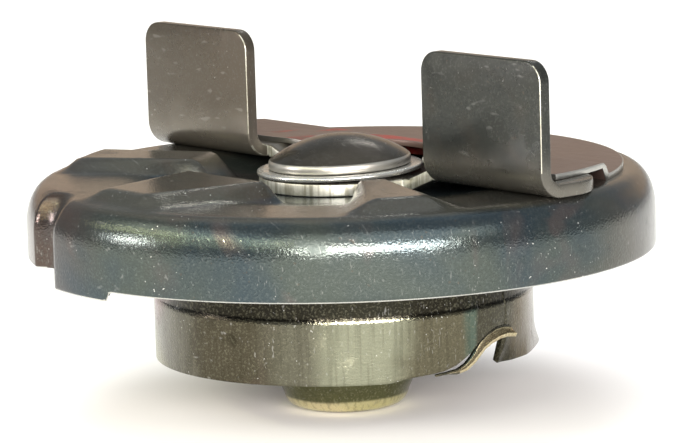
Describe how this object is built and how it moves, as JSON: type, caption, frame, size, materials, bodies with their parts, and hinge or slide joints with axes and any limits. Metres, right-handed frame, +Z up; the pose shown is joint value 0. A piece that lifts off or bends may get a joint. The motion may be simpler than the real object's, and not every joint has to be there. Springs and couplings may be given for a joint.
{
  "type": "fuel tank cap",
  "caption": "Bayonet fuel tank cap: round pressed cover with a two-eared handle plate, domed centre rivet, sprung seal and a vented valve housing.",
  "frame": {"origin": "on the cap's axis, at the underside of the valve housing that it stands on", "axes": "+Z up along the cap's axis to the domed rivet, the two ears of the handle lie along X, the label plate is on the +Y side"},
  "size_m": [0.096, 0.096, 0.0562],
  "materials": {
    "cover_zinc": "bright zinc plating, satin with a faint blue and tan sheen",
    "handle_zinc": "satin zinc plating",
    "label_print": "thin plate with worn reddish print",
    "rivet_steel": "satin",
    "washer_steel": "bright zinc plating",
    "spring_steel": "oiled spring steel",
    "yellow_zinc": "yellow chromate zinc plating with green and pink sheen",
    "gasket_rubber": "matte",
    "valve_brass": "turned",
    "filter_felt": "matte felt"
  },
  "bodies": {
    "cap_body": {"outer_cover": "cover_zinc", "handle_plate": "handle_zinc", "label_plate": "label_print", "centre_rivet": "rivet_steel", "rivet_washer": "washer_steel", "lower_washer": "washer_steel", "star_spring": "spring_steel", "bayonet_cup": "yellow_zinc", "valve_housing": "yellow_zinc", "housing_rivets": "rivet_steel", "filter_pad": "filter_felt", "filter_ring": "valve_brass", "valve_seat": "valve_brass", "spring_retainer": "valve_brass", "pressure_spring": "spring_steel"},
    "seal": {"seal_plate": "washer_steel", "gasket_ring": "gasket_rubber"},
    "pressure_valve": {"pressure_plate": "valve_brass", "pressure_seal": "gasket_rubber", "vacuum_spring": "spring_steel"},
    "vacuum_stem": {"vacuum_valve": "valve_brass", "vacuum_clip": "spring_steel"}
  },
  "joints": [
    {"name": "seal_lift", "type": "slide", "parent": "cap_body", "child": "seal", "axis": [0, 0, 1], "range_m": [0, 0.0012], "stiffness_N_per_m": 4000, "springref_m": -0.004, "deforming": ["star_spring"]},
    {"name": "pressure_lift", "type": "slide", "parent": "cap_body", "child": "pressure_valve", "axis": [0, 0, 1], "range_m": [0, 0.0012], "stiffness_N_per_m": 200, "springref_m": -0.004, "deforming": ["pressure_spring"]},
    {"name": "vacuum_drop", "type": "slide", "parent": "pressure_valve", "child": "vacuum_stem", "axis": [0, 0, -1], "range_m": [0, 0.0009], "stiffness_N_per_m": 40, "springref_m": -0.0015, "deforming": ["vacuum_spring"]}
  ]
}
